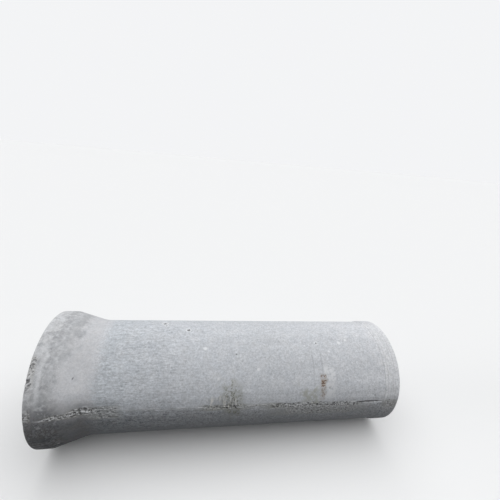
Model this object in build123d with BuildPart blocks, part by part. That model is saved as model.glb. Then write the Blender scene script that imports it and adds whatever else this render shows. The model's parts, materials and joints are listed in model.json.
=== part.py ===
import os
from math import asin, atan2, cos, hypot, sin

from build123d import *

# A precast concrete sewer pipe with a bell at one end and a spigot at the other.
# Millimetres. It lies on a level floor, bell towards -X and spigot towards +X, and
# rests on the bell's collar and on the raised band of the spigot.

# The run of the pipe
bore_diameter = 800
wall = 80
laying_length = 3000

# Spigot end, which goes into the next pipe's socket, with a shallow seat for the ring
band_rise = 8
band_length = 134
band_ramp_length = 26
seat_from_end = 100
seat_width = 8
seat_slope_length = 5
seat_depth = 3
nose_radius = 15

# Socket inside the bell
ring_gap = 9
socket_depth = 110
lead_in_length = 16
lead_in_flare = 6
socket_root_chamfer = 12

# Outside of the bell
bell_wall = 63
collar_length = 110
taper_length = 255
lip_radius = 10
collar_shoulder_radius = 40
taper_foot_radius = 300

# Both edges of the bore
bore_chamfer = 8

# Radii from the axis, and the length over all
bore_radius = bore_diameter / 2
barrel_radius = bore_radius + wall
band_radius = barrel_radius + band_rise
socket_radius = band_radius + ring_gap
bell_radius = socket_radius + bell_wall
total_length = laying_length + socket_depth

# The wall's section: for each corner its distance from the mouth, its distance from
# the axis, and the radius of the arc that rounds it
band_start = total_length - band_length
seat_start = total_length - seat_from_end - seat_width / 2
seat_end = seat_start + seat_width
section_corners = [
    (0, bell_radius, lip_radius),
    (collar_length, bell_radius, collar_shoulder_radius),
    (collar_length + taper_length, barrel_radius, taper_foot_radius),
    (band_start - band_ramp_length, barrel_radius, 0),
    (band_start, band_radius, 0),
    (seat_start - seat_slope_length, band_radius, 0),
    (seat_start, band_radius - seat_depth, 0),
    (seat_end, band_radius - seat_depth, 0),
    (seat_end + seat_slope_length, band_radius, 0),
    (total_length, band_radius, nose_radius),
    (total_length, bore_radius + bore_chamfer, 0),
    (total_length - bore_chamfer, bore_radius, 0),
    (socket_depth + bore_chamfer, bore_radius, 0),
    (socket_depth, bore_radius + bore_chamfer, 0),
    (socket_depth, socket_radius - socket_root_chamfer, 0),
    (socket_depth - socket_root_chamfer, socket_radius, 0),
    (lead_in_length, socket_radius, 0),
    (0, socket_radius + lead_in_flare, 0),
]

# The floor is tangent to two arcs of the section, the collar's shoulder and the nose.
# Each arc's centre is found from the corner that it rounds, and the tilt follows.
taper_angle = atan2(bell_radius - barrel_radius, taper_length)
shoulder_reach = collar_shoulder_radius * (1 - cos(taper_angle)) / sin(taper_angle)
shoulder_along = collar_length - shoulder_reach
shoulder_out = bell_radius - collar_shoulder_radius
nose_along = total_length - nose_radius
nose_out = band_radius - nose_radius
rest_run = nose_along - shoulder_along
rest_drop = shoulder_out - nose_out
rest_lead = asin((collar_shoulder_radius - nose_radius) / hypot(rest_run, rest_drop))
rest_tilt = atan2(rest_drop, rest_run) + rest_lead

# Where the mouth's centre is, with the pipe on the floor and centred along X
lip_reach = (bell_radius - lip_radius) * sin(rest_tilt) + lip_radius * (1 - cos(rest_tilt))
nose_reach = nose_along * cos(rest_tilt) + nose_out * sin(rest_tilt) + nose_radius
mouth_x = (lip_reach - nose_reach) / 2
mouth_height = shoulder_along * sin(rest_tilt) + shoulder_out * cos(rest_tilt) + collar_shoulder_radius

# In the section's plane, X runs down the axis from the mouth and Y is the radius
axis_direction = Vector(cos(rest_tilt), 0, -sin(rest_tilt))
mouth_centre = Vector(mouth_x, 0, mouth_height)
section_plane = Plane(origin=mouth_centre, x_dir=axis_direction, z_dir=(0, -1, 0))
pipe_axis = Axis(mouth_centre, axis_direction)

with BuildPart() as pipe:
    with BuildSketch(section_plane):
        with BuildLine():
            FilletPolyline(
                *[(along, out) for along, out, rounding in section_corners],
                radius=[rounding for along, out, rounding in section_corners],
                close=True,
            )
        make_face()
    revolve(axis=pipe_axis)

pipe.part.label = "pipe"

os.makedirs("parts", exist_ok=True)
export_step(pipe.part, "parts/pipe.step")
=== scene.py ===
import json
import math
from types import SimpleNamespace

import bpy
from mathutils import Matrix, Vector


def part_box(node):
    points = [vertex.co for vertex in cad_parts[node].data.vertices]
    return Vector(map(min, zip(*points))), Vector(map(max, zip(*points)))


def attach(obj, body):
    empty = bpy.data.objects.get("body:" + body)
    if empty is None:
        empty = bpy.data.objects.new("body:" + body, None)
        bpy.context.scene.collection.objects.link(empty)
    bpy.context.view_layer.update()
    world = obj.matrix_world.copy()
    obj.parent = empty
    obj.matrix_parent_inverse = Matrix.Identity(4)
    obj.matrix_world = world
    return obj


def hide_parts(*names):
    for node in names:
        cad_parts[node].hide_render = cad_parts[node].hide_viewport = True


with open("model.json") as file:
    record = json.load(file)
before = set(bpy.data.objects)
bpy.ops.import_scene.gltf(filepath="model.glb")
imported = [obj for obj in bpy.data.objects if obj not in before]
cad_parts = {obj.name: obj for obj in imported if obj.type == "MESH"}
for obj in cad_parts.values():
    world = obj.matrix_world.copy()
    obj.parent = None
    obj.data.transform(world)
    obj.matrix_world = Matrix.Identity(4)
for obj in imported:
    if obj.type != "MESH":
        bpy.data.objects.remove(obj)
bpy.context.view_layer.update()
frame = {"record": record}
print("frame loaded")


# Where the pipe is, read from the frame. Metres throughout.
mounts = {mount["name"]: mount for mount in frame["record"]["mounts"]}


def mountPlace(name):
    return Vector(mounts[name]["pos_m"])


def mountRadius(name):
    return mounts[name]["dims"]["r_mm"] / 1000


def mountEnds(name):  # where a round mount's wall starts and stops along the pipe
    middle = (mountPlace(name) - mouth).dot(axis)
    half = mounts[name]["dims"]["length_mm"] / 1000 / 2
    return middle - half, middle + half


axis = Vector(mounts["spigot"]["axis"]).normalized()  # down the pipe, bell to spigot
near = Vector((0, -1, 0))  # square to the axis, towards the viewer
high = near.cross(axis).normalized()  # square to both, upwards
onAxis = mountPlace("waterway")
mouth = onAxis + axis * (mountPlace("mouth_face") - onAxis).dot(axis)
pipeLength = (mountPlace("spigot_face") - mouth).dot(axis)
boreRadius = mountRadius("waterway")
socketRadius = mountRadius("socket")
bandRadius = mountRadius("spigot")
boxLow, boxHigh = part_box("pipe")
bellRadius = (boxHigh[1] - boxLow[1]) / 2


# Node trees written as Python. A Wire is a value on its way through a tree.
class Wire:
    def __init__(self, net, socket):
        self.net = net
        self.socket = socket

    def __add__(self, other):
        return self.net.maths("ADD", self, other)

    def __sub__(self, other):
        return self.net.maths("SUBTRACT", self, other)

    def __rsub__(self, other):
        return self.net.maths("SUBTRACT", other, self)

    def __mul__(self, other):
        return self.net.maths("MULTIPLY", self, other)

    def __truediv__(self, other):
        return self.net.maths("DIVIDE", self, other)

    def __pow__(self, other):
        return self.net.maths("POWER", self, other)

    def __neg__(self):
        return self.net.maths("MULTIPLY", self, -1)

    def __abs__(self):
        return self.net.maths("ABSOLUTE", self)

    __radd__ = __add__
    __rmul__ = __mul__

    def rise(self, low, high):  # 0 below low, 1 above high, smooth between
        ends = {"Value": self, "From Min": low, "From Max": high}
        return self.net.node("ShaderNodeMapRange", {"interpolation_type": "SMOOTHSTEP"}, ends)

    def fall(self, low, high):
        return 1 - self.rise(low, high)

    def within(self, low, high, soft):  # 1 between low and high, with soft borders
        return self.rise(low - soft, low + soft) * self.fall(high - soft, high + soft)

    def beside(self, key):  # another output of the same node
        return Wire(self.net, findSocket(self.socket.node.outputs, key))


def findSocket(sockets, key):
    if isinstance(key, int):
        return sockets[key]
    return next((s for s in sockets if s.identifier == key), None) or sockets[key]


class Net:
    def __init__(self, tree):
        self.tree = tree

    def node(self, kind, settings=None, sockets=None, out=0):
        made = self.tree.nodes.new(kind)
        for name, value in (settings or {}).items():
            if name == "stops":
                self.setStops(made.color_ramp, value)
            else:
                setattr(made, name, value)
        for key, value in (sockets or {}).items():
            self.feed(findSocket(made.inputs, key), value)
        return Wire(self, findSocket(made.outputs, out)) if made.outputs else None

    def feed(self, socket, value):
        if isinstance(value, Wire):
            self.tree.links.new(value.socket, socket)
        elif socket.type == "VECTOR" and isinstance(value, (int, float)):
            socket.default_value = (value, value, value)
        else:
            socket.default_value = value

    def setStops(self, ramp, stops):
        while len(ramp.elements) > 1:
            ramp.elements.remove(ramp.elements[-1])
        ramp.elements[0].position = stops[0][0]
        for place, _ in stops[1:]:
            ramp.elements.new(place)
        for element, (_, colour) in zip(ramp.elements, stops):
            element.color = (*colour, 1)

    def maths(self, operation, *values):
        return self.node("ShaderNodeMath", {"operation": operation}, dict(enumerate(values)))

    def vector(self, operation, *values, out="Vector"):
        return self.node("ShaderNodeVectorMath", {"operation": operation}, dict(enumerate(values)), out)

    def scaled(self, vector, by):
        return self.node("ShaderNodeVectorMath", {"operation": "SCALE"}, {0: vector, "Scale": by})

    def part(self, vector, out="X"):
        return self.node("ShaderNodeSeparateXYZ", {}, {"Vector": vector}, out)

    def most(self, first, *others):
        for other in others:
            first = self.maths("MAXIMUM", first, other)
        return first

    def mixColour(self, share, first, second, blend="MIX"):
        settings = {"data_type": "RGBA", "blend_type": blend}
        sockets = {"Factor_Float": share, "A_Color": first, "B_Color": second}
        return self.node("ShaderNodeMix", settings, sockets, "Result_Color")

    def noise(self, point, scale, detail, rough):  # about -0.2 to 0.2
        sockets = {"Vector": point, "Scale": scale, "Detail": detail, "Roughness": rough}
        return self.node("ShaderNodeTexNoise", {}, sockets) - 0.5

    def dots(self, point, scale):  # metres to the nearest of many scattered dots, and its own chance
        away = self.node("ShaderNodeTexVoronoi", {}, {"Vector": point, "Scale": scale}, "Distance")
        return away / scale, self.part(away.beside("Color"))


# The pipe, one casting. Its shape and its finish are worked out from the same flaws, so that
# a hole is hollow and carries painted shade at the same spot. A fade or an edge has two numbers, where it
# starts
# and where it ends. A span has three: from, to, and how soft its borders are.
castPipe = {
    # The section, where the frame doesn't give it
    "wall": 0.080,
    "collar": 0.110,
    "taper": 0.255,
    "shoulderRadius": 0.040,
    "footRadius": 0.300,
    "lipRadius": 0.010,
    "noseRadius": 0.015,
    "rampLength": 0.026,
    "rampRadius": 0.060,
    "seatFromEnd": 0.100,
    "seatWidth": 0.008,
    "seatSlope": 0.005,
    "seatDepth": 0.003,
    "boreChamfer": 0.008,
    "rootChamfer": 0.012,
    "leadInFlare": 0.006,
    "arris": 0.002,
    # The middle of the wall comes in by this much from the bell to the barrel, over this fade
    "middleDrop": 0.09,
    "middleFade": (0.0, 0.36),
    "skinFade": (-0.004, 0.004),
    # The mesh
    "turns": 620,
    "crowding": 0.25,
    "arcStep": 0.0025,
    "arcStepsMost": 16,
    "weld": 0.00005,
    "trianglesKept": 190000,
    # Relief. All but the fin and the crumbs goes inwards
    "waviness": 0.0014,
    "lumpiness": 0.0010,
    "setIn": 0.3,
    "honeycombDepth": 0.0070,
    "crumbHeight": 0.0022,
    "seamStep": 0.0012,
    "seamStepFades": ((-0.002, 0.006), (0.03, 0.16)),
    "finHeight": 0.0018,
    "holeDepth": 0.0060,
    "chipDepth": 0.0022,
    "crackDepth": 0.0050,
    "hoopDepth": 0.0008,
    # The ring's seat is kept smoother: how far each side, how soft, by what share
    "calmSeat": (0.016, 0.008, 0.8),
    # Nothing stands proud this near the mouth and the spigot's end
    "flushEnds": (0.15, 0.16),
    "flushSoftness": 0.02,
    # The cast grain, from waves to crumbs: scale, detail, roughness
    "seed": 4.0,
    "waves": (2.6, 1, 0.5),
    "grain": {
        "broad": (4, 2, 0.5),
        "patch": (13, 4, 0.65),
        "chunk": (30, 3, 0.65),
        "crumb": (66, 3, 0.68),
    },
    # The seam where the mould's halves met: degrees from the top, its drift for each metre, and
    # how far it wanders and how ragged it is
    "seamAngle": 83.2,
    "seamDrift": 1.4,
    "seamWander": 0.034,
    "seamRaggedness": 0.018,
    # The fin along it, which comes and goes with the patches
    "finWidth": 0.0075,
    "finWander": 0.006,
    "finPatchFade": (-0.06, 0.10),
    "finMouthFade": (0.05, 0.14),
    # Honeycombed runs of the seam: middle, half length, how far above and below, how strong
    "honeycombRuns": [
        (0.27, 0.17, 0.018, 0.020, 1.0),
        (0.37, 0.11, 0.042, 0.030, 1.0),
        (0.52, 0.14, 0.045, 0.070, 0.75),
        (0.95, 0.35, 0.006, 0.012, 0.40),
        (1.46, 0.24, 0.022, 0.034, 0.80),
        (1.72, 0.14, 0.008, 0.010, 0.60),
        (2.12, 0.33, 0.014, 0.040, 1.0),
        (2.35, 0.48, 0.012, 0.130, 0.70),
        (2.55, 0.24, 0.010, 0.040, 1.0),
        (3.03, 0.09, 0.018, 0.070, 1.0),
    ],
    "runFade": (0.5, 1.2),  # in half lengths
    "runSoftness": 0.010,
    "farSideShare": 0.55,
    # Honeycombed patches: from and to along the pipe, from and to in degrees, how strong. Their
    # borders wander and are soft by so many metres and degrees
    "honeycombPatches": [(-0.02, 0.046, 37, 60, 0.86), (-0.02, 0.056, 76, 86, 0.88)],
    "patchWander": (0.06, 30),
    "patchSoftness": (0.008, 3),
    # How loose the grain of the honeycomb is, and where it turns to pits and to crumbs
    "pitLooseness": 0.095,
    "pitFade": (0.10, 0.16),
    "hollowFade": (0.06, 0.22),
    "crumbLooseness": 0.10,
    "crumbFade": (0.12, 0.19),
    # The crack: from and to along the pipe, how far below the seam, how wide and how crooked
    "crackEnds": (2.67, 2.94),
    "crackBelow": 0.004,
    "crackGape": 0.0105,
    "crackGapeLeast": 0.0005,
    "crackTaper": 0.07,
    "crackSoftness": 0.03,
    "crackWander": 0.016,
    "crackEdge": (0.4, 1.0),
    # Small air holes, so many to the metre, and the radius of the largest and the least
    "airHoleScale": 15.0,
    "airHoleRadius": 0.0055,
    "airHoleLeast": 0.0001,
    "airHoleEdge": (0.0, 0.7),
    # Larger holes and chips: along, degrees from the top towards the viewer, radius
    "bigHoles": [
        (0.918, -12.0, 0.019),
        (0.934, -6.7, 0.013),
        (1.136, 2.4, 0.018),
        (1.166, 4.6, 0.008),
        (2.322, 22.0, 0.013),
        (0.292, 52.8, 0.0065),
        (0.388, 80.7, 0.019),
        (0.320, 82.6, 0.012),
        (0.351, 81.0, 0.010),
        (0.640, 61.0, 0.007),
        (1.560, 34.0, 0.007),
        (2.030, 47.0, 0.006),
        (2.402, 69.6, 0.010),
        (2.850, 79.5, 0.008),
        (2.900, 91.6, 0.012),
        (3.010, 91.4, 0.013),
        (0.112, 30.0, 0.010),
        (0.022, 42.0, 0.012),
        (0.012, 53.5, 0.017),
        (0.030, 56.4, 0.010),
        (0.058, 39.0, 0.009),
    ],
    "bigHoleWobble": {"chunk": 0.034, "crumb": 0.022},
    "bigHoleEdge": (0.55, 0.95),  # in radii
    # Chips along the edges of both ends
    "chipReach": (0.006, 0.022),
    "chipClusters": (-0.04, 0.12),
    "chipLooseness": 0.10,
    "chipFade": (0.12, 0.24),
    # Hoop lines on the spigot: along, width
    "hoops": [(2.957, 0.006), (2.984, 0.005), (3.034, 0.006), (3.058, 0.005)],
    "lineCore": 0.3,  # the share of their width at which the fin and the hoops start to fade
}
barrelRadius = boreRadius + castPipe["wall"]
metresPerDegree = math.radians(1) * barrelRadius


def outerRadius(along):
    past = min(max(along - castPipe["collar"], 0), castPipe["taper"]) / castPipe["taper"]
    return bellRadius + (barrelRadius - bellRadius) * past


def awayFromSpot(net, skin, along, degrees):  # metres to a spot on the outside
    turn = math.radians(degrees)
    outward = high * math.cos(turn) + near * math.sin(turn)
    spot = mouth + axis * along + outward * outerRadius(along)
    return net.vector("DISTANCE", skin.point, spot, out="Value")


def mixed(skin, shares):  # a sum of grains or flaws, each by its share
    parts = [getattr(skin, name) * share for name, share in shares.items()]
    return sum(parts[1:], parts[0])


def placeOnPipe(net, point):  # how far along, around and out a point is
    away = net.vector("SUBTRACT", point, mouth)
    along = net.vector("DOT_PRODUCT", away, axis, out="Value")
    up = net.vector("DOT_PRODUCT", away, high, out="Value")
    side = net.vector("DOT_PRODUCT", away, near, out="Value")
    out = (up * up + side * side) ** 0.5
    drop = along.rise(*castPipe["middleFade"]) * -castPipe["middleDrop"]
    beyond = out - (drop + (socketRadius + bellRadius) / 2)
    return SimpleNamespace(
        point=point,
        along=along,
        around=net.maths("ARCTAN2", side, up) * math.degrees(1),
        out=out,
        up=up,
        side=side,
        beyond=beyond,  # metres outside the middle of the wall
        outside=beyond.rise(*castPipe["skinFade"]),  # 1 on the outer skin, 0 inside
    )


def addSeam(net, skin):  # the seam, its honeycombing and its fin
    pipe = castPipe
    along, around, outside = skin.along, skin.around, skin.outside
    seamAt = along * pipe["seamDrift"] + pipe["seamAngle"]
    skin.across = (abs(around) - seamAt) * metresPerDegree + skin.broad * pipe["seamWander"]
    ragged = skin.across + skin.chunk * pipe["seamRaggedness"]
    fadeFrom, fadeTo = pipe["runFade"]
    runs = []
    for middle, half, above, below, strength in pipe["honeycombRuns"]:
        run = abs(along - middle).fall(half * fadeFrom, half * fadeTo) * strength
        runs.append(run * ragged.within(-above, below, pipe["runSoftness"]))
    nearSideMore = around.rise(-1, 1) * (1 - pipe["farSideShare"])
    rough = net.most(*runs) * (nearSideMore + pipe["farSideShare"])
    alongWander, aroundWander = pipe["patchWander"]
    alongSoft, aroundSoft = pipe["patchSoftness"]
    patchyAlong = along + skin.patch * alongWander
    patchyAround = around + skin.patch * aroundWander
    for start, end, low, high, strength in pipe["honeycombPatches"]:
        patch = patchyAlong.within(start, end, alongSoft) * patchyAround.within(low, high, aroundSoft)
        rough = net.most(rough, patch * strength)
    skin.rough = rough * outside
    loose = skin.crumb + skin.rough * pipe["pitLooseness"]
    skin.pits = loose.rise(*pipe["pitFade"]) * skin.rough
    skin.hollow = loose.rise(*pipe["hollowFade"]) * skin.rough  # pits with sides that a mesh can follow
    standing = skin.rough * pipe["crumbLooseness"] - skin.crumb
    skin.crumbs = standing.rise(*pipe["crumbFade"]) * skin.rough
    width = pipe["finWidth"]
    fin = abs(skin.across + skin.chunk * pipe["finWander"]).fall(width * pipe["lineCore"], width)
    fin = fin * skin.patch.rise(*pipe["finPatchFade"]) * outside * along.rise(*pipe["finMouthFade"])
    skin.fin = fin * (1 - skin.pits)


def addCrack(skin):
    pipe = castPipe
    start, end = pipe["crackEnds"]
    gape = skin.along.within(start, end, pipe["crackTaper"]) * pipe["crackGape"] + pipe["crackGapeLeast"]
    crooked = skin.across - pipe["crackBelow"] + skin.chunk * pipe["crackWander"]
    crack = (abs(crooked) / gape).fall(*pipe["crackEdge"])
    crack = crack * skin.along.within(start, end, pipe["crackSoftness"])
    skin.crack = crack * skin.around.rise(0, 1) * skin.outside


def addHoles(net, skin):
    pipe = castPipe
    away, chance = net.dots(skin.cast, pipe["airHoleScale"])
    size = chance ** 2 * pipe["airHoleRadius"]
    holes = [(1 - away / (size + pipe["airHoleLeast"])).rise(*pipe["airHoleEdge"])]
    wobble = mixed(skin, pipe["bigHoleWobble"])
    edgeFrom, edgeTo = pipe["bigHoleEdge"]
    skin.bigHoles = []  # metres to each larger hole, and its radius
    for along, degrees, radius in pipe["bigHoles"]:
        away = awayFromSpot(net, skin, along, degrees) + wobble
        holes.append(away.fall(radius * edgeFrom, radius * edgeTo))
        skin.bigHoles.append((away, radius))
    skin.holes = net.most(*holes)


def addEdgeChips(net, skin):
    pipe = castPipe
    edges = [(0, bellRadius), (pipeLength, bandRadius), (0, socketRadius), (pipeLength, boreRadius)]
    close = []
    for along, out in edges:
        gap = ((skin.along - along) ** 2 + (skin.out - out) ** 2) ** 0.5
        close.append(gap.fall(*pipe["chipReach"]))
    byEdge = net.most(*close)
    clustered = skin.broad.rise(*pipe["chipClusters"])
    loose = skin.chunk + byEdge * pipe["chipLooseness"]
    skin.chips = loose.rise(*pipe["chipFade"]) * byEdge * clustered


def addHoops(net, skin):
    core = castPipe["lineCore"]
    lines = [abs(skin.along - middle).fall(width * core, width) for middle, width in castPipe["hoops"]]
    skin.hoops = net.most(*lines) * skin.outside


def castSkin(net, point, seed):  # what the shape and the finish both need to know of a point
    skin = placeOnPipe(net, point)
    skin.cast = net.vector("ADD", point, seed)
    for name, grain in castPipe["grain"].items():
        setattr(skin, name, net.noise(skin.cast, *grain))
    addSeam(net, skin)
    addCrack(skin)
    addHoles(net, skin)
    addEdgeChips(net, skin)
    addHoops(net, skin)
    return skin


def sectionCorners():
    # along, out, rounding, step of the stations from this corner to the next
    pipe = castPipe
    arris = pipe["arris"]
    leadIn, rootFrom = mountEnds("socket")
    bandFrom, _ = mountEnds("spigot")
    boreFrom, boreTo = mountEnds("waterway")
    rootAlong = boreFrom - pipe["boreChamfer"]
    seatFrom = pipeLength - pipe["seatFromEnd"] - pipe["seatWidth"] / 2
    seatTo = seatFrom + pipe["seatWidth"]
    seatRadius = bandRadius - pipe["seatDepth"]
    return [
        (0, bellRadius, pipe["lipRadius"], 0.0045),
        (pipe["collar"], bellRadius, pipe["shoulderRadius"], 0.006),
        (pipe["collar"] + pipe["taper"], barrelRadius, pipe["footRadius"], 0.0062),
        (bandFrom - pipe["rampLength"], barrelRadius, pipe["rampRadius"], 0.004),
        (bandFrom, bandRadius, pipe["rampRadius"], 0.0035),
        (seatFrom - pipe["seatSlope"], bandRadius, arris, 0.003),
        (seatFrom, seatRadius, arris, 0.003),
        (seatTo, seatRadius, arris, 0.003),
        (seatTo + pipe["seatSlope"], bandRadius, arris, 0.004),
        (pipeLength, bandRadius, pipe["noseRadius"], 0.006),
        (pipeLength, boreRadius + pipe["boreChamfer"], arris, 0.004),
        (boreTo, boreRadius, arris, 0.022),
        (boreFrom, boreRadius, arris, 0.004),
        (rootAlong, boreRadius + pipe["boreChamfer"], arris, 0.010),
        (rootAlong, socketRadius - pipe["rootChamfer"], arris, 0.006),
        (rootFrom, socketRadius, arris, 0.010),
        (leadIn, socketRadius, arris, 0.006),
        (0, socketRadius + pipe["leadInFlare"], arris, 0.005),
    ]


def roundedSection(corners):
    arcs = []
    for k, (along, out, radius, _) in enumerate(corners):
        corner = Vector((along, out))
        back = (Vector(corners[k - 1][:2]) - corner).normalized()
        onward = (Vector(corners[(k + 1) % len(corners)][:2]) - corner).normalized()
        turn = math.pi - back.angle(onward)
        reach = radius * math.tan(turn / 2)
        centre = corner + (back + onward).normalized() * (radius / math.cos(turn / 2))
        start = corner + back * reach - centre
        bend = start.angle_signed(corner + onward * reach - centre)
        count = max(2, math.ceil(abs(bend) * radius / castPipe["arcStep"]))
        count = min(count, castPipe["arcStepsMost"])
        arcs.append([centre + Matrix.Rotation(-bend * j / count, 2) @ start for j in range(count + 1)])
    stations = []
    for k, arc in enumerate(arcs):
        stations += arc
        gap = arcs[(k + 1) % len(arcs)][0] - arc[-1]
        count = max(1, round(gap.length / corners[k][3]))
        stations += [arc[-1] + gap * j / count for j in range(1, count)]
    return stations + stations[:1]


def castRelief(net, skin, ask):  # how far the wall is set in, in metres
    pipe = castPipe
    along, across = skin.along, skin.across
    relief = (net.noise(skin.cast, *pipe["waves"]) + pipe["setIn"]) * ask["Waviness"]
    relief = relief + (skin.chunk + pipe["setIn"]) * ask["Lumpiness"]
    relief = relief + skin.holes * ask["Hole Depth"]
    relief = relief + skin.chips * ask["Chip Depth"]
    seat = pipeLength - pipe["seatFromEnd"]
    reach, soft, share = pipe["calmSeat"]
    awayFromSeat = 1 - along.within(seat - reach, seat + reach, soft) * share
    relief = relief + skin.hollow * awayFromSeat * ask["Honeycomb Depth"]
    relief = relief + skin.crack * ask["Crack Depth"]
    stepBegins, stepEnds = pipe["seamStepFades"]
    step = across.rise(*stepBegins) * across.fall(*stepEnds) * skin.outside
    relief = relief + step * ask["Seam Step"]
    relief = relief + skin.hoops * ask["Hoop Depth"]
    byMouth, byEnd = pipe["flushEnds"]
    onBarrel = along.within(byMouth, pipeLength - byEnd, pipe["flushSoftness"])
    proud = skin.fin * ask["Fin Height"] + skin.crumbs * ask["Crumb Height"]
    return relief - proud * onBarrel


socketKinds = {int: "Int", float: "Float", bpy.types.Object: "Object", bpy.types.Material: "Material"}


def castWallTree(values):
    tree = bpy.data.node_groups.new("castWall", "GeometryNodeTree")
    for name, value in values.items():
        kind = "NodeSocket" + socketKinds[type(value)]
        tree.interface.new_socket(name=name, in_out="INPUT", socket_type=kind)
    tree.interface.new_socket(name="Geometry", in_out="OUTPUT", socket_type="NodeSocketGeometry")
    net = Net(tree)
    given = net.node("NodeGroupInput")
    ask = {name: given.beside(name) for name in values}

    # A sheet of stations by turns is rolled round the axis and closed both ways
    size = {"Vertices X": ask["Stations"], "Vertices Y": ask["Turns"]}
    sheet = net.node("GeometryNodeMeshGrid", {}, size, "Mesh")
    index = net.node("GeometryNodeInputIndex")
    station = net.maths("FLOOR", index / ask["Turns"])
    turn = index - station * ask["Turns"]
    section = net.node("GeometryNodeObjectInfo", {}, {"Object": ask["Section"]}, "Geometry")
    here = net.node("GeometryNodeInputPosition")
    sample = {"Geometry": section, "Value": here, "Index": station}
    cut = net.node("GeometryNodeSampleIndex", {"data_type": "FLOAT_VECTOR"}, sample)
    evenly = (0.5 - turn / (ask["Turns"] - 1)) * (2 * math.pi)
    bearing = evenly + net.maths("SINE", evenly * 2) * castPipe["crowding"]  # closer at the seams
    upwards = net.scaled(high, net.maths("COSINE", bearing))
    outward = net.vector("ADD", upwards, net.scaled(near, net.maths("SINE", bearing)))
    onAxisHere = net.vector("ADD", net.scaled(axis, net.part(cut, "X")), mouth)
    rolled = net.vector("ADD", onAxisHere, net.scaled(outward, net.part(cut, "Y")))
    wall = net.node("GeometryNodeSetPosition", {}, {"Geometry": sheet, "Position": rolled})
    weld = {"Geometry": wall, "Distance": castPipe["weld"]}
    wall = net.node("GeometryNodeMergeByDistance", {}, weld)

    inwards = -castRelief(net, castSkin(net, here, ask["Seed"]), ask)
    offset = net.scaled(net.node("GeometryNodeInputNormal"), inwards)
    wall = net.node("GeometryNodeSetPosition", {}, {"Geometry": wall, "Offset": offset})
    wall = net.node("GeometryNodeSetShadeSmooth", {}, {"Geometry": wall})
    wall = net.node("GeometryNodeRealizeInstances", {}, {"Geometry": wall})
    wall = net.node("GeometryNodeSetMaterial", {}, {"Geometry": wall, "Material": ask["Finish"]})
    net.node("NodeGroupOutput", {}, {"Geometry": wall})
    return tree


def meshNow(holder):
    depsgraph = bpy.context.evaluated_depsgraph_get()
    return bpy.data.meshes.new_from_object(holder.evaluated_get(depsgraph), depsgraph=depsgraph)


def makePipe(finish):
    pipe = castPipe
    stations = roundedSection(sectionCorners())
    sectionMesh = bpy.data.meshes.new("section")
    sectionMesh.from_pydata([(along, out, 0) for along, out in stations], [], [])
    section = bpy.data.objects.new("section", sectionMesh)
    cast = bpy.data.objects.new("pipe_cast", bpy.data.meshes.new("pipe_cast"))
    for made in (section, cast):
        bpy.context.scene.collection.objects.link(made)
    values = {
        "Section": section,
        "Stations": len(stations),
        "Turns": pipe["turns"],
        "Waviness": pipe["waviness"],
        "Lumpiness": pipe["lumpiness"],
        "Honeycomb Depth": pipe["honeycombDepth"],
        "Crumb Height": pipe["crumbHeight"],
        "Seam Step": pipe["seamStep"],
        "Fin Height": pipe["finHeight"],
        "Hole Depth": pipe["holeDepth"],
        "Chip Depth": pipe["chipDepth"],
        "Crack Depth": pipe["crackDepth"],
        "Hoop Depth": pipe["hoopDepth"],
        "Seed": pipe["seed"],
        "Finish": finish,
    }
    builder = cast.modifiers.new("build", "NODES")
    builder.node_group = castWallTree(values)
    for item in builder.node_group.interface.items_tree:
        if item.in_out == "INPUT":
            builder[item.identifier] = values[item.name]
    triangles = sum(len(face.vertices) - 2 for face in meshNow(cast).polygons)
    thinner = cast.modifiers.new("thin", "DECIMATE")
    thinner.ratio = min(1, pipe["trianglesKept"] / triangles)
    thinned = meshNow(cast)
    cast.modifiers.clear()
    cast.data = thinned
    thinned.name = cast.name
    bpy.data.objects.remove(section)
    print("wall cast with", triangles, "triangles, thinned to", len(thinned.polygons), "faces")
    return cast


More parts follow.
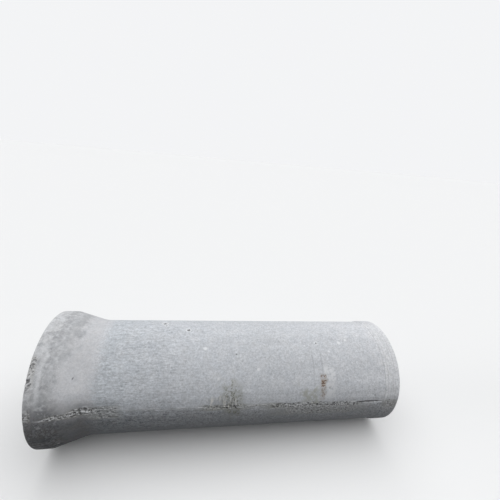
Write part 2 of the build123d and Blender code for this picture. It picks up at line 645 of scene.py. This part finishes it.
# The concrete's finish. Fades and spans are written as above. Degrees are from the top, and
# metres are along the pipe or, for what lies by the seam, below it.
concreteLook = {
    # Colour down the pipe: metres from the mouth, share of light returned
    "tones": [
        (0.000, (0.512, 0.515, 0.526)),
        (0.088, (0.490, 0.494, 0.506)),
        (0.125, (0.400, 0.404, 0.417)),
        (0.170, (0.412, 0.416, 0.429)),
        (0.225, (0.565, 0.569, 0.588)),
        (0.400, (0.572, 0.576, 0.596)),
        (0.480, (0.468, 0.491, 0.520)),
        (0.900, (0.508, 0.525, 0.553)),
        (1.800, (0.525, 0.539, 0.564)),
        (2.500, (0.551, 0.564, 0.590)),
        (2.935, (0.570, 0.580, 0.604)),
        (2.985, (0.622, 0.628, 0.647)),
    ],
    "inside": (0.500, 0.508, 0.524),
    "rust": (0.205, 0.122, 0.074),
    "rustDark": (0.085, 0.052, 0.036),
    "rustTinge": (0.470, 0.370, 0.280),
    "moss": (0.160, 0.160, 0.125),
    "mossTinge": (0.395, 0.400, 0.355),
    "scraped": (0.740, 0.725, 0.680),
    # Painted shade for the pits, holes, crack, chips and pores
    "hollow": (0.085, 0.085, 0.088),
    "grime": (0.245, 0.250, 0.262),
    "lime": (0.720, 0.728, 0.745),
    "sandy": (0.430, 0.420, 0.385),
    # Grain that only the finish has: scale, detail, roughness
    "clouds": (1.6, 2, 0.5),
    "sand": (240, 3, 0.75),
    # Grain drawn out down or round the pipe: along by, round by, scale, detail, roughness
    "drawn": {
        "crust": (0.18, 1, 100, 3, 0.7),
        "washes": (0.06, 1, 22, 3, 0.6),
        "strokes": (1, 0.15, 60, 2, 0.6),
    },
    # Scattered spots: so many to the metre, the chances that show them, size, wander and edge
    "spots": {
        "pores": (55, (0.72, 1.0), 0.0022, 0, (-0.0003, 0.0006)),
        "flecks": (8, (0.50, 1.0), 0.010, 0.02, (-0.001, 0.003)),
    },
    # Where the parts of the pipe begin and end, for the finish
    "collarFade": (0.16, 0.26),
    "taperSpan": (0.20, 0.42, 0.05),
    "streakFades": ((0.38, 0.50), (0.75, 1.50)),
    "crustFade": (0.3, 0.4),
    "lowerFades": ((55, 90), (95, 160)),
    "insideFade": (-0.030, 0.010),
    # Borders of the bands of colour: what makes them ragged, and how far they lean at the sides
    "raggedBy": {"broad": 0.12, "patch": 0.12, "chunk": 0.09, "crustPastBell": 0.20},
    "taperRagged": 0.12,
    "taperRaggedSpan": (0.14, 0.30, 0.03),
    "lean": 0.06,
    "leanSpan": (0.20, 0.34, 0.04),
    "leanFade": (10, 60),
    # Mottling: what makes it, and where it is smoother or rougher
    "mottledBy": {"chunk": 0.38, "crumb": 1.05, "sand": 0.75},
    "crustShare": 0.15,
    "taperSmoother": 0.50,
    "collarRougher": 0.50,
    "underSeamRougher": 0.9,
    "underSeamFades": ((0.0, 0.02), (0.12, 0.30)),
    # Broader tone: by what share each makes a place lighter or darker. The shoulder, the taper's top and the
    # flank get painted shade and painted light by their bearing from the top
    "cloudShare": 0.20,
    "patchShare": 0.24,
    "patchShareMoreOnCollar": 0.20,
    "shoulderPaintedShade": 0.05,
    "shoulderSpan": (14, 46, 10),
    "taperTopPaintedShade": 0.11,
    "taperTopFade": (30, 60),
    "flankPaintedLight": 0.10,
    "flankSpan": (58, 86, 8),
    "flankPaintedLightBySpigot": 0.08,
    "bySpigotFade": (2.3, 3.0),
    "washShare": 0.15,
    "washShareMoreBelow": 0.30,
    "warmthDrift": 0.05,
    # Damp and painted shade below the seam, a painted shadow of the seam's step under it, and painted shade
    # at the taper's foot and on the bell's underside
    # Damp and painted shade over everything below the seam
    "dampAndShade": 0.50,
    "dampAndShadeLessPerMetre": 0.080,
    "dampAndShadeFade": (-0.004, 0.085),
    # A painted shadow of the seam's step, a strip just below the seam
    "seamStepShadow": 0.18,
    "seamStepShadowSpan": (0.010, 0.034, 0.008),
    "seamStepShadowFade": (1.3, 1.9),
    # Painted shade above the seam at the taper's foot
    "footShade": 0.20,
    "footShadeSpans": ((0.32, 0.62, 0.04), (-0.080, 0.004, 0.010)),
    "footShadeWander": 0.08,
    # Painted shade on the lower side of the bell and taper, down to the seam and below, stronger on the
    # collar
    "undersideShade": 0.44,
    "undersideShadeMoreOnCollar": 0.24,
    "undersideShadeFades": ((-0.17, 0.0), (0.34, 0.52)),
    # Lime, in dabs: along, degrees towards the viewer, radius
    "limeDabs": [
        (2.556, 22, 0.022),
        (2.630, 18, 0.014),
        (2.201, 25, 0.012),
        (2.429, 32, 0.012),
        (2.416, 52, 0.020),
        (2.396, 67, 0.036),
        (1.745, 49, 0.018),
        (1.400, 57, 0.016),
        (1.290, 27, 0.024),
    ],
    "dabWander": 0.04,
    "dabCore": 0.4,
    "dabShare": 0.85,
    "fleckShare": 0.5,
    # Lime on the collar, on the lip and in the run of it
    "collarLimeBy": {"chunk": -1, "patch": -0.4, "crumb": -0.5},
    "collarLimeEdge": (-0.02, 0.20),
    "collarLimeFade": (-0.02, 0.20),
    "collarLimeShare": 0.48,
    "lipLimeShare": 0.45,
    "limeRunEdge": (-0.16, 0.02),
    "limeRunShare": 0.95,
    # Lime round the holes larger than this, in a ring of so many radii, and on other flaws
    "ringedFrom": 0.012,
    "ringEdge": (1.1, 1.9),
    "limeOnFlaws": {"limeRings": 0.7, "finTrace": 0.8, "crumbs": 0.75},
    # Marks: span along the pipe, span in degrees, how far their borders wander in each
    "marks": {
        "lipLime": ((0.070, 0.096, 0.012), (40, 70, 8), (0, 0)),
        "limeRun": ((2.375, 2.455, 0.018), (48, 80, 5), (0.20, 0)),
        "olive": ((2.14, 2.32, 0.04), (71, 84, 4), (0.30, 40)),
        "mossRun": ((1.450, 1.600, 0.060), (64, 93, 9), (0.32, 80)),
        "scraped": ((1.330, 1.560, 0.020), (75, 86, 3), (0.10, 12)),
    },
    # Rust: how far along, how wide, and where it is thick and where thin
    "rustAlong": 2.342,
    "rustWander": 0.07,
    "rustWidth": (0.010, 0.040),
    "rustThickSpan": (56, 68, 2),
    "rustThinSpan": (69, 81, 4),
    "rustThinShare": 0.55,
    # Two dribbles of dirt
    "dribblesAlong": (2.337, 2.255),
    "dribbleWidth": (0.002, 0.011),
    "dribbleSpan": (30, 57, 6),
    "dribbleShare": 0.25,
    # Moss that keeps to the seam, and where moss gets thicker down the side
    "mossySeamSpan": (1.30, 1.95, 0.10),
    "mossySeamShare": 0.6,
    "mossierFade": (66, 84),
    # Scraped strokes, with grime between them
    "strokeEdge": (-0.04, 0.10),
    "scrapedShare": 0.75,
    "scrapedGrime": 0.35,
    # Tints that the grain lets through in spots: which grain, its edge, how strong, what colour
    "tints": {
        # Collar grime, with more of it from 55 degrees down as painted shade
        "collarGrime": ({"chunk": 1, "patch": 0.4, "crumb": 0.5, "lower": 0.06}, (0.00, 0.20), 0.62, "grime"),
        "rustStain": ({"chunk": 1}, (-0.18, 0.10), 0.60, "rustTinge"),
        "rustSpots": ({"chunk": 0.6, "crumb": 1}, (-0.03, 0.06), 0.9, "rust"),
        "rustScabs": ({"chunk": 0.4, "crumb": 1}, (0.05, 0.11), 0.8, "rustDark"),
        "oliveStain": ({"chunk": 1}, (-0.16, 0.08), 0.75, "mossTinge"),
        "mossStain": ({"chunk": 1}, (-0.16, 0.10), 0.65, "mossTinge"),
        "mossTufts": ({"crumb": 0.8, "chunk": 0.5, "sand": 0.8, "mossier": 0.06}, (-0.04, 0.13), 1, "moss"),
        "mossGaps": ({"crumb": -1, "sand": -0.3}, (0.08, 0.15), 0.4, "lime"),
    },
    "sandyShare": 0.45,
    # How dark each hollow is, as painted shade, and how dark the hoop lines are
    "hollowShadeBy": {"pits": 1, "holes": 0.9, "crack": 1, "chips": 0.5, "pores": 0.45},
    "hollowShadeShare": 0.82,
    "hoopLift": 0.35,
    "hoopEdge": (0.1, 0.6),
    "hoopShare": 0.40,
    # Heights in metres for the bump, finer than the mesh can carry
    "bumpBy": {
        "chunk": 0.0008,
        "crumb": 0.0012,
        "sand": 0.0010,
        "streaks": 0.0010,
        "pits": -0.0015,
        "holes": -0.0015,
        "chips": -0.0010,
        "crumbs": 0.0010,
        "pores": -0.0008,
    },
    "matt": 0.88,
    "mattDrift": 0.3,
}


def drawnOut(net, skin, name):
    alongBy, roundBy, *grain = concreteLook["drawn"][name]
    spread = {"X": skin.along * alongBy, "Y": skin.side * roundBy, "Z": skin.up * roundBy}
    return net.noise(net.node("ShaderNodeCombineXYZ", {}, spread), *grain)


def scatteredSpots(net, skin, name):
    scale, shown, size, wander, edge = concreteLook["spots"][name]
    away, chance = net.dots(skin.cast, scale)
    return (chance.rise(*shown) * size - away - skin.crumb * wander).rise(*edge)


def markAt(skin, name):
    alongSpan, aroundSpan, (alongWander, aroundWander) = concreteLook["marks"][name]
    where = (skin.along + skin.patch * alongWander).within(*alongSpan)
    return where * (skin.around + skin.patch * aroundWander).within(*aroundSpan)


def tinted(net, colour, share, name):
    return net.mixColour(share, colour, (*concreteLook[name], 1))


def spotted(net, skin, colour, where, name):  # a tint that the grain lets through
    shares, edge, strength, tint = concreteLook["tints"][name]
    return tinted(net, colour, where * mixed(skin, shares).rise(*edge) * strength, tint)


def addFinishGrain(net, skin):
    look = concreteLook
    along, around, outside = skin.along, skin.around, skin.outside
    skin.leaning = abs(around)
    skin.viewerSide = around.rise(0, 1) * outside
    lowerBegins, lowerEnds = look["lowerFades"]
    skin.lower = around.rise(*lowerBegins) * around.fall(*lowerEnds)
    skin.mossier = around.rise(*look["mossierFade"])
    skin.onCollar = along.fall(*look["collarFade"]) * outside
    skin.onTaper = along.within(*look["taperSpan"])
    skin.sand = net.noise(skin.cast, *look["sand"])
    skin.crust = drawnOut(net, skin, "crust")
    skin.crustPastBell = skin.crust * along.rise(*look["crustFade"])
    streaksBegin, streaksEnd = look["streakFades"]
    skin.streaked = along.rise(*streaksBegin) * along.fall(*streaksEnd) * outside
    skin.streaks = skin.crust * skin.streaked
    skin.pores = scatteredSpots(net, skin, "pores")
    skin.finTrace = skin.fin ** 0.5
    ringFrom, ringTo = look["ringEdge"]
    ringed = [hole for hole in skin.bigHoles if hole[1] > look["ringedFrom"]]
    rings = [away.fall(radius * ringFrom, radius * ringTo) for away, radius in ringed]
    skin.limeRings = net.most(*rings) * (1 - skin.holes)


def bandedColour(net, skin):  # colour down the pipe, with ragged borders
    look = concreteLook
    lean = skin.along.within(*look["leanSpan"]) * skin.leaning.fall(*look["leanFade"]) * skin.outside
    ragged = mixed(skin, look["raggedBy"]) - lean * look["lean"]
    ragged = ragged + skin.patch * skin.along.within(*look["taperRaggedSpan"]) * look["taperRagged"]
    stops = [(metres / pipeLength, colour) for metres, colour in look["tones"]]
    where = {"Fac": (skin.along + ragged) / pipeLength}
    colour = net.node("ShaderNodeValToRGB", {"stops": stops}, where, "Color")
    return tinted(net, colour, skin.beyond.fall(*look["insideFade"]), "inside")


def mottledToneWithPaintedLight(net, skin):  # from broad clouds down to sand, with painted shade and light by the bearing from the top, as a factor on the colour
    look = concreteLook
    along, across, leaning, outside = skin.along, skin.across, skin.leaning, skin.outside
    mottled = mixed(skin, look["mottledBy"]) + skin.crust * (skin.streaked + look["crustShare"])
    mottled = mottled * (1 - skin.onTaper * look["taperSmoother"])
    mottled = mottled * (1 + skin.onCollar * look["collarRougher"])
    underBegins, underEnds = look["underSeamFades"]
    underSeam = across.rise(*underBegins) * across.fall(*underEnds) * outside
    mottled = mottled * (1 + underSeam * look["underSeamRougher"])
    clouds = net.noise(skin.cast, *look["clouds"]) * look["cloudShare"]
    patches = skin.patch * (skin.onCollar * look["patchShareMoreOnCollar"] + look["patchShare"])
    tone = 1 + clouds + patches + mottled
    # Painted shade on the shoulders and on the taper's top
    tone = tone * (1 - leaning.within(*look["shoulderSpan"]) * outside * look["shoulderPaintedShade"])
    tone = tone * (1 - leaning.fall(*look["taperTopFade"]) * skin.onTaper * look["taperTopPaintedShade"])
    # Painted light on the flanks, more towards the spigot
    lighter = look["flankPaintedLight"] + along.rise(*look["bySpigotFade"]) * look["flankPaintedLightBySpigot"]
    tone = tone * (1 + leaning.within(*look["flankSpan"]) * outside * lighter)
    washed = look["washShare"] + skin.lower * look["washShareMoreBelow"]
    return tone + drawnOut(net, skin, "washes") * washed


def weatheredToneWithPaintedShade(skin, tone):  # damp, with painted shade below the seam, under its step, at the taper's foot and on the bell's underside
    look = concreteLook
    along, across, outside = skin.along, skin.across, skin.outside
    # Damp and painted shade below the seam, less towards the spigot
    wetAndShaded = look["dampAndShade"] - along * look["dampAndShadeLessPerMetre"]
    tone = tone * (1 - across.rise(*look["dampAndShadeFade"]) * outside * wetAndShaded)
    # Painted shadow of the seam's step, just below the seam
    line = across.within(*look["seamStepShadowSpan"]) * along.fall(*look["seamStepShadowFade"]) * outside
    tone = tone * (1 - line * look["seamStepShadow"])
    # Painted shade above the seam at the taper's foot
    footAlong, footAcross = look["footShadeSpans"]
    foot = (across + skin.chunk * look["footShadeWander"]).within(*footAcross)
    tone = tone * (1 - along.within(*footAlong) * foot * outside * look["footShade"])
    # Painted shade on the lower side of the bell and taper, stronger on the collar
    acrossFade, alongFade = look["undersideShadeFades"]
    undersideShade = across.rise(*acrossFade) * along.fall(*alongFade) * outside
    return tone * (1 - undersideShade * (skin.onCollar * look["undersideShadeMoreOnCollar"] + look["undersideShade"]))


def limeShare(net, skin):  # how much lime shows
    look = concreteLook
    found = [scatteredSpots(net, skin, "flecks") * skin.outside * look["fleckShare"]]
    for along, degrees, radius in look["limeDabs"]:
        away = awayFromSpot(net, skin, along, degrees) + skin.chunk * look["dabWander"]
        found.append(away.fall(radius * look["dabCore"], radius) * look["dabShare"])
    onCollar = mixed(skin, look["collarLimeBy"]).rise(*look["collarLimeEdge"]) * skin.onCollar
    found.append(onCollar * skin.across.fall(*look["collarLimeFade"]) * look["collarLimeShare"])
    found.append(markAt(skin, "lipLime") * look["lipLimeShare"])
    limeRun = markAt(skin, "limeRun") * skin.chunk.rise(*look["limeRunEdge"])
    found.append(limeRun * look["limeRunShare"] * skin.viewerSide)
    found += [getattr(skin, name) * share for name, share in look["limeOnFlaws"].items()]
    return net.most(*found)


def withLimeAndGrime(net, skin, colour):
    colour = tinted(net, colour, skin.rough * concreteLook["sandyShare"], "sandy")
    colour = spotted(net, skin, colour, skin.onCollar, "collarGrime")
    return tinted(net, colour, limeShare(net, skin), "lime")


def withRust(net, skin, colour):
    look = concreteLook
    wandering = skin.along - look["rustAlong"] + skin.patch * look["rustWander"]
    thin = skin.around.within(*look["rustThinSpan"]) * look["rustThinShare"]
    rust = (skin.around.within(*look["rustThickSpan"]) + thin) * skin.viewerSide
    rust = rust * abs(wandering).fall(*look["rustWidth"])
    for name in ("rustStain", "rustSpots", "rustScabs"):
        colour = spotted(net, skin, colour, rust, name)
    return spotted(net, skin, colour, markAt(skin, "olive") * skin.viewerSide, "oliveStain")


def withDribbles(net, skin, colour):
    look = concreteLook
    lines = [abs(skin.along - along).fall(*look["dribbleWidth"]) for along in look["dribblesAlong"]]
    dribbles = net.most(*lines) * skin.around.within(*look["dribbleSpan"]) * skin.viewerSide
    return tinted(net, colour, dribbles * look["dribbleShare"], "grime")


def withMoss(net, skin, colour):
    look = concreteLook
    onSeam = skin.along.within(*look["mossySeamSpan"]) * skin.rough * look["mossySeamShare"]
    moss = net.most(markAt(skin, "mossRun"), onSeam) * skin.viewerSide
    for name in ("mossStain", "mossTufts", "mossGaps"):
        colour = spotted(net, skin, colour, moss, name)
    return colour


def withScrapes(net, skin, colour):  # scraped strokes that run round the pipe
    look = concreteLook
    strokes = drawnOut(net, skin, "strokes").rise(*look["strokeEdge"])
    scraped = markAt(skin, "scraped") * skin.viewerSide
    colour = tinted(net, colour, scraped * (1 - strokes) * look["scrapedGrime"], "grime")
    return tinted(net, colour, scraped * strokes * look["scrapedShare"], "scraped")


def withShadedHollows(net, skin, colour):
    look = concreteLook
    dark = [getattr(skin, name) * share for name, share in look["hollowShadeBy"].items()]
    # Painted shade in the pits, holes, crack, chips and pores
    colour = tinted(net, colour, net.most(*dark) * look["hollowShadeShare"], "hollow")
    # The hoop lines drawn darker
    darkHoops = skin.hoops * (skin.patch + look["hoopLift"]).rise(*look["hoopEdge"])
    return tinted(net, colour, darkHoops * look["hoopShare"], "grime")


def concreteFinish():
    look = concreteLook
    material = bpy.data.materials.new("castConcrete")
    material.use_nodes = True
    tree = material.node_tree
    tree.nodes.clear()
    net = Net(tree)
    skin = castSkin(net, net.node("ShaderNodeTexCoord", out="Object"), castPipe["seed"])
    addFinishGrain(net, skin)
    tone = weatheredToneWithPaintedShade(skin, mottledToneWithPaintedLight(net, skin))
    drift = skin.patch * look["warmthDrift"]  # a little warmer here, a little cooler there
    channels = {"Red": tone + drift, "Green": tone, "Blue": tone - drift}
    grey = net.node("ShaderNodeCombineColor", {}, channels)
    colour = net.mixColour(1, bandedColour(net, skin), grey, "MULTIPLY")
    for layer in (withLimeAndGrime, withRust, withDribbles, withMoss, withScrapes, withShadedHollows):
        colour = layer(net, skin, colour)
    height = mixed(skin, look["bumpBy"])
    normal = net.node("ShaderNodeBump", {}, {"Strength": 1.0, "Distance": 1.0, "Height": height})
    sockets = {
        "Base Color": colour,
        "Roughness": look["matt"] + skin.crumb * look["mattDrift"],
        "Specular IOR Level": 0.5,
        "Normal": normal,
    }
    surface = net.node("ShaderNodeBsdfPrincipled", {}, sockets)
    net.node("ShaderNodeOutputMaterial", {}, {"Surface": surface})
    return material


# Camera where the photographer stood: its place in metres, its turns in degrees
cameraView = {
    "place": (-0.3617, -2.3648, 2.5882),
    "heading": -11.026,
    "pitch": 18.156,
    "roll": 5.234,
    "pixelsPerRadian": 291.39,
    "frame": 500,
    "sensor": 36,
}


def setCamera():
    view = cameraView
    data = bpy.data.cameras.new("view")
    data.sensor_width = view["sensor"]
    data.lens = view["sensor"] * view["pixelsPerRadian"] / view["frame"]
    camera = bpy.data.objects.new("view", data)
    turn = (
        Matrix.Rotation(math.radians(view["heading"]), 4, "Z")
        @ Matrix.Rotation(math.radians(90 - view["pitch"]), 4, "X")
        @ Matrix.Rotation(math.radians(view["roll"]), 4, "Z")
    )
    camera.matrix_world = Matrix.Translation(view["place"]) @ turn
    bpy.context.scene.collection.objects.link(camera)
    bpy.context.scene.camera = camera


# Pale floor and soft light from above, as under a bright cloud
studio = {
    "floorSize": 240,
    "floorSeen": (0.80, 0.80, 0.80),
    "floorBounce": (0.08, 0.08, 0.08),
    "skySeen": (0.898, 0.905, 0.918),
    "skyLight": (0.86, 0.93, 1.00),
    "skyStrength": 0.13,
    # name, tilt from straight down about X and Y, degrees across, strength
    "suns": [
        ("overhead", (5, 4), 95, 2.80),
        ("mouthSide", (0, -81), 30, 0.95),
        ("spigotSide", (0, 81), 30, 0.75),
        ("farSide", (-80, 0), 30, 0.70),
    ],
}


def seenDirectly(net):  # 1 for what the camera sees, straight or by a mirror or through glass
    straight = net.node("ShaderNodeLightPath", out="Is Camera Ray")
    return net.most(straight, straight.beside("Is Glossy Ray"), straight.beside("Is Transmission Ray"))


def seenOrGiven(net, seen, given):  # one colour to be looked at, another to light with
    return net.mixColour(seenDirectly(net), (*studio[given], 1), (*studio[seen], 1))


def makeFloor():
    half = studio["floorSize"] / 2
    mesh = bpy.data.meshes.new("floor")
    corners = [(-half, -half, 0), (half, -half, 0), (half, half, 0), (-half, half, 0)]
    mesh.from_pydata(corners, [], [(0, 1, 2, 3)])
    floor = bpy.data.objects.new("floor", mesh)
    bpy.context.scene.collection.objects.link(floor)
    material = bpy.data.materials.new("paleFloor")
    material.use_nodes = True
    tree = material.node_tree
    tree.nodes.clear()
    net = Net(tree)
    colour = seenOrGiven(net, "floorSeen", "floorBounce")
    sockets = {"Base Color": colour, "Roughness": 1.0, "Specular IOR Level": 0.0}
    surface = net.node("ShaderNodeBsdfPrincipled", {}, sockets)
    net.node("ShaderNodeOutputMaterial", {}, {"Surface": surface})
    mesh.materials.append(material)


def makeLights():
    world = bpy.data.worlds.new("studio")
    world.use_nodes = True
    tree = world.node_tree
    tree.nodes.clear()
    net = Net(tree)
    colour = seenOrGiven(net, "skySeen", "skyLight")
    strength = seenDirectly(net) * (1 - studio["skyStrength"]) + studio["skyStrength"]
    sky = net.node("ShaderNodeBackground", {}, {"Color": colour, "Strength": strength})
    net.node("ShaderNodeOutputWorld", {}, {"Surface": sky})
    bpy.context.scene.world = world
    for name, (tiltX, tiltY), width, strength in studio["suns"]:
        data = bpy.data.lights.new(name, "SUN")
        data.energy = strength
        data.angle = math.radians(width)
        light = bpy.data.objects.new(name, data)
        light.rotation_euler = (math.radians(tiltX), math.radians(tiltY), 0)
        bpy.context.scene.collection.objects.link(light)


setCamera()
print("camera set")
finish = concreteFinish()
print("finish made")
pipeCast = makePipe(finish)
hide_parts("pipe")
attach(pipeCast, "root")
print("pipe cast")
makeFloor()
makeLights()
bpy.context.scene.view_settings.view_transform = "Standard"
print("studio set")
